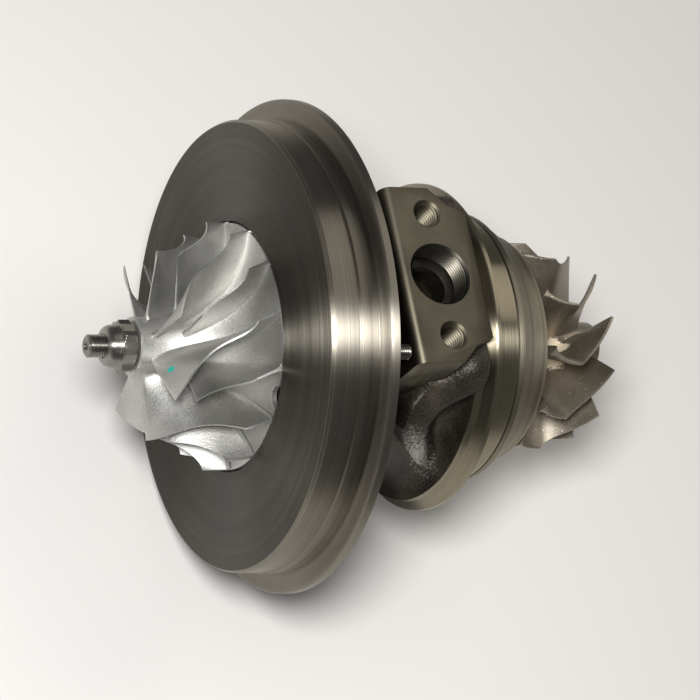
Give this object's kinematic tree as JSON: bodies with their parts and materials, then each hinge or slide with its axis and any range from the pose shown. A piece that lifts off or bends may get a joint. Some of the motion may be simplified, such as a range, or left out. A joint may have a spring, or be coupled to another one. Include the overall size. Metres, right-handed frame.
{
  "type": "turbocharger cartridge",
  "caption": "Turbocharger core: bladed compressor and turbine wheels on one shaft in a bearing housing, with a round backplate, an oil inlet pad and V-band seats.",
  "frame": {"origin": "middle of the overall envelope, on the shaft's axis and 4 mm in front of the oil inlet's centre", "axes": "+X along the shaft from the compressor to the turbine, +Z out through the oil inlet pad, +Y completes a right-handed frame"},
  "size_m": [0.2562, 0.218, 0.218],
  "materials": {
    "turned_steel": "turned, satin, with fine concentric tool marks",
    "cast_aluminium": "investment cast and bead blasted",
    "ground_steel": "ground, lightly oiled",
    "cast_iron": "sand cast, dark and rough, with machined seats",
    "machined_iron": "machined cast iron",
    "shield_steel": "pressed sheet, matte",
    "nickel_alloy": "investment cast, matte grey brown",
    "bronze": "turned bearing bronze",
    "spring_steel": "tempered spring steel",
    "seal_rubber": "moulded, matte black"
  },
  "bodies": {
    "housing": {"bearing_housing": "cast_iron", "compressor_backplate": "turned_steel", "backplate_stud_1": "ground_steel", "backplate_stud_2": "ground_steel", "backplate_stud_3": "ground_steel", "backplate_stud_4": "ground_steel", "backplate_stud_5": "ground_steel", "backplate_stud_6": "ground_steel", "heat_shield": "shield_steel", "seal_insert": "machined_iron", "insert_o_ring": "seal_rubber", "insert_retaining_ring": "spring_steel", "backplate_o_ring": "seal_rubber", "thrust_bearing": "bronze", "thrust_bearing_pin": "ground_steel", "compressor_seal_ring": "spring_steel", "turbine_seal_ring_1": "spring_steel", "turbine_seal_ring_2": "spring_steel", "bearing_retaining_ring_1": "spring_steel", "bearing_retaining_ring_2": "spring_steel", "bearing_retaining_ring_3": "spring_steel", "bearing_retaining_ring_4": "spring_steel"},
    "rotor": {"rotor_shaft": "ground_steel", "turbine_wheel": "nickel_alloy", "compressor_wheel": "cast_aluminium", "compressor_locknut": "ground_steel", "thrust_collar": "ground_steel", "thrust_spacer": "ground_steel", "thrust_ring": "ground_steel", "oil_slinger": "ground_steel"},
    "compressor_bearing": {"compressor_journal_bearing": "bronze"},
    "turbine_bearing": {"turbine_journal_bearing": "bronze"}
  },
  "joints": [
    {"name": "rotor_spin", "type": "hinge", "parent": "housing", "child": "rotor", "pos_m": [0, 0, 0], "axis": [1, 0, 0], "continuous": true},
    {"name": "compressor_bearing_float", "type": "hinge", "parent": "housing", "child": "compressor_bearing", "pos_m": [-0.017, 0, 0], "axis": [1, 0, 0], "continuous": true},
    {"name": "turbine_bearing_float", "type": "hinge", "parent": "housing", "child": "turbine_bearing", "pos_m": [0.0256, 0, 0], "axis": [1, 0, 0], "continuous": true}
  ]
}
